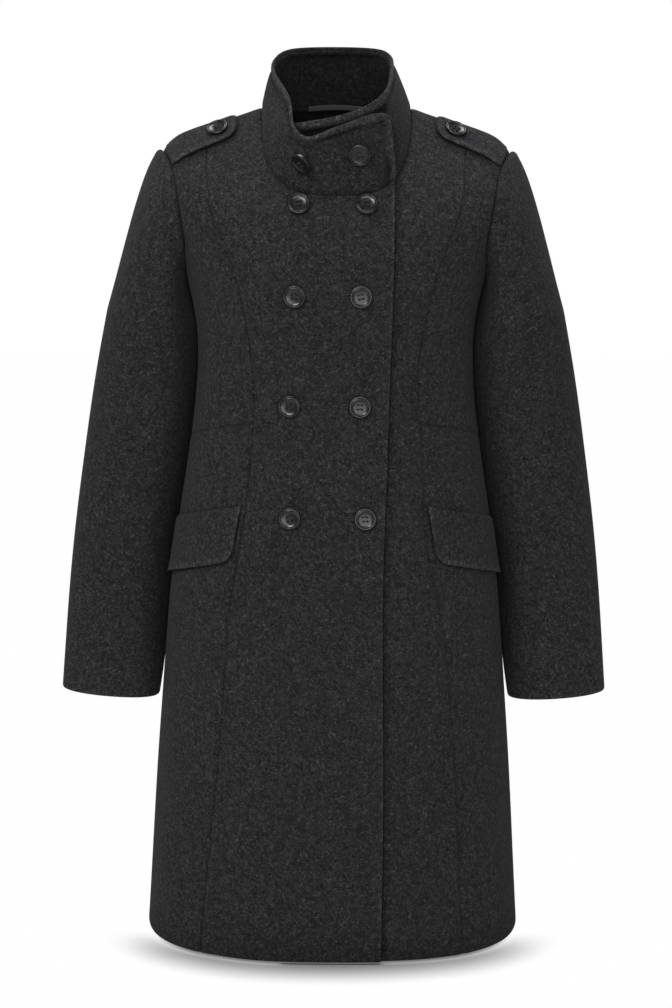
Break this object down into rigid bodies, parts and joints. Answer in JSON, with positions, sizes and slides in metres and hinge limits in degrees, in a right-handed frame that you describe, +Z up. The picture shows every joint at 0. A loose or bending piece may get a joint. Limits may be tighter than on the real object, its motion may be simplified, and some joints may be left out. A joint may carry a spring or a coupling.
{
  "type": "double-breasted overcoat",
  "caption": "Knee-length double-breasted wool overcoat with a wrapped stand collar, shoulder straps and slanted pocket flaps, filled out as when worn.",
  "frame": {"origin": "on the centre line at the base of the neck, level with the inner ends of the shoulder seams, where the wearer's shoulders carry the coat", "axes": "+Z up, the front faces -Y, the wearer's left is at +X"},
  "size_m": [0.6278, 0.2937, 1.0145],
  "materials": {
    "wool": "charcoal melange melton",
    "loop": "dark woven tape",
    "button": "polished"
  },
  "bodies": {
    "root": {"back_left": "wool", "back_right": "wool", "button_collar_left": "button", "button_collar_right": "button", "button_left_1": "button", "button_left_2": "button", "button_left_3": "button", "button_left_4": "button", "button_right_1": "button", "button_right_2": "button", "button_right_3": "button", "button_right_4": "button", "button_strap_left": "button", "button_strap_right": "button", "collar": "wool", "front_left": "wool", "front_right": "wool", "hanger_loop": "loop", "pocket_flap_left": "wool", "pocket_flap_right": "wool", "shoulder_strap_left": "wool", "shoulder_strap_right": "wool", "side_front_lower_left": "wool", "side_front_lower_right": "wool", "side_front_upper_left": "wool", "side_front_upper_right": "wool", "top_sleeve_left": "wool", "top_sleeve_right": "wool", "under_sleeve_left": "wool", "under_sleeve_right": "wool"}
  },
  "joints": []
}
